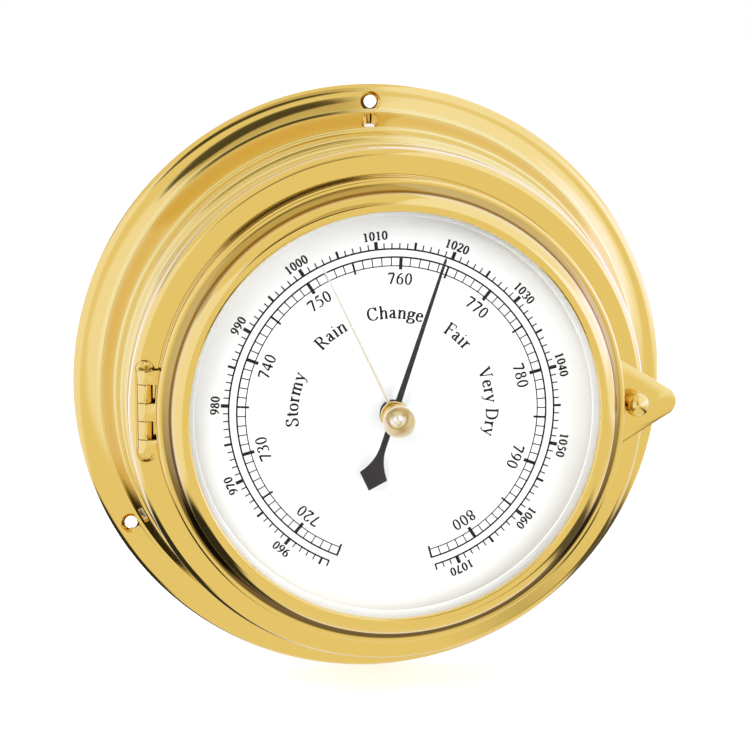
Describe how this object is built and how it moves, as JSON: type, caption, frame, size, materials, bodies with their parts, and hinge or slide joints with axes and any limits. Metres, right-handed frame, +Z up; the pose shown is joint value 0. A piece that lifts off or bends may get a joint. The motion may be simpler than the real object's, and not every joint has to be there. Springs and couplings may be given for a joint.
{
  "type": "marine barometer",
  "caption": "Round brass wall barometer with a hinged glazed bezel, white dial, black pointer, brass set hand and an aneroid movement.",
  "frame": {"origin": "centre of the round base's back face, on the wall", "axes": "+Y into the wall, so the dial faces -Y; +Z up; +X to the right as the dial is read"},
  "size_m": [0.15, 0.0596, 0.15],
  "materials": {
    "polished_brass": "turned, polished and lacquered brass",
    "movement_brass": "plain machined brass",
    "steel": "bright steel",
    "spring_steel": "blued spring steel",
    "nickel_silver": "satin nickel silver",
    "rear_cover": "black painted sheet brass",
    "dial_white": "matt white enamel with black print",
    "glass": "clear flat mineral glass",
    "seal_white": "white rubber",
    "pointer_black": "matt black lacquer"
  },
  "bodies": {
    "case": {"case_shell": "polished_brass", "front_ring": "polished_brass", "rear_cover": "rear_cover", "cover_screws": "steel", "hinge_case_leaf": "polished_brass", "hinge_leaf_screws": "polished_brass", "hinge_pin": "polished_brass", "dial_carrier": "movement_brass", "carrier_screws": "steel", "dial_feet": "movement_brass", "dial_nuts": "steel", "dial_plate": "dial_white", "upper_bush": "movement_brass", "movement_base": "movement_brass", "movement_pillars": "movement_brass", "pillar_screws": "steel", "capsule_foot": "movement_brass", "capsule_lower": "nickel_silver", "capsule_upper": "nickel_silver", "capsule_post": "movement_brass", "knife_pin": "steel", "spring_bracket": "movement_brass", "bracket_screws": "steel", "main_spring": "spring_steel", "spring_screws": "steel", "lever_arm": "movement_brass", "lever_rivets": "movement_brass", "link_rod": "steel", "arbor_bridge": "movement_brass", "bridge_screws": "steel", "rocker_posts": "movement_brass", "hairspring": "spring_steel", "hairspring_stud": "steel", "chain": "steel"},
    "bezel": {"bezel_ring": "polished_brass", "glass": "glass", "glass_seal": "seal_white", "glass_retainer": "polished_brass", "glass_bush": "polished_brass", "bush_nut": "polished_brass", "hinge_bezel_leaf": "polished_brass", "latch_tab": "polished_brass"},
    "set_hand": {"set_hand": "polished_brass", "set_hand_arbor": "polished_brass", "set_hand_knob": "polished_brass", "friction_washer": "steel"},
    "locking_knob": {"locking_knob": "polished_brass"},
    "pointer": {"pointer": "pointer_black", "pointer_boss": "pointer_black", "pointer_arbor": "steel", "hairspring_collet": "movement_brass"},
    "rocker": {"rocker_shaft": "steel"},
    "adjusting_screw": {"adjusting_screw": "steel"}
  },
  "joints": [
    {"name": "bezel_swing", "type": "hinge", "parent": "case", "child": "bezel", "pos_m": [-0.0576, -0.043, 0], "axis": [0, 0, -1], "range_deg": [0, 110]},
    {"name": "locking_screw_turn", "type": "hinge", "parent": "bezel", "child": "locking_knob", "pos_m": [0.0584, -0.044, 0.0007], "axis": [0, -1, 0], "range_deg": [0, 720]},
    {"name": "set_hand_turn", "type": "hinge", "parent": "bezel", "child": "set_hand", "pos_m": [0, -0.054, 0], "axis": [0, 1, 0], "continuous": true},
    {"name": "pointer_turn", "type": "hinge", "parent": "case", "child": "pointer", "pos_m": [0, -0.045, 0], "axis": [0, 1, 0], "range_deg": [-175.5, 146.5], "deforming": ["hairspring"]},
    {"name": "rocker_turn", "type": "hinge", "parent": "case", "child": "rocker", "pos_m": [0.025, -0.0205, 0], "axis": [0, 0, -1], "range_deg": [-10, 9], "deforming": ["chain"]},
    {"name": "adjusting_screw_turn", "type": "hinge", "parent": "case", "child": "adjusting_screw", "pos_m": [-0.032, -0.01, 0], "axis": [0, 1, 0], "range_deg": [-360, 360]}
  ],
  "couplings": [
    {"joint": "rocker_turn", "follows": "pointer_turn", "ratio": 0.05583}
  ]
}
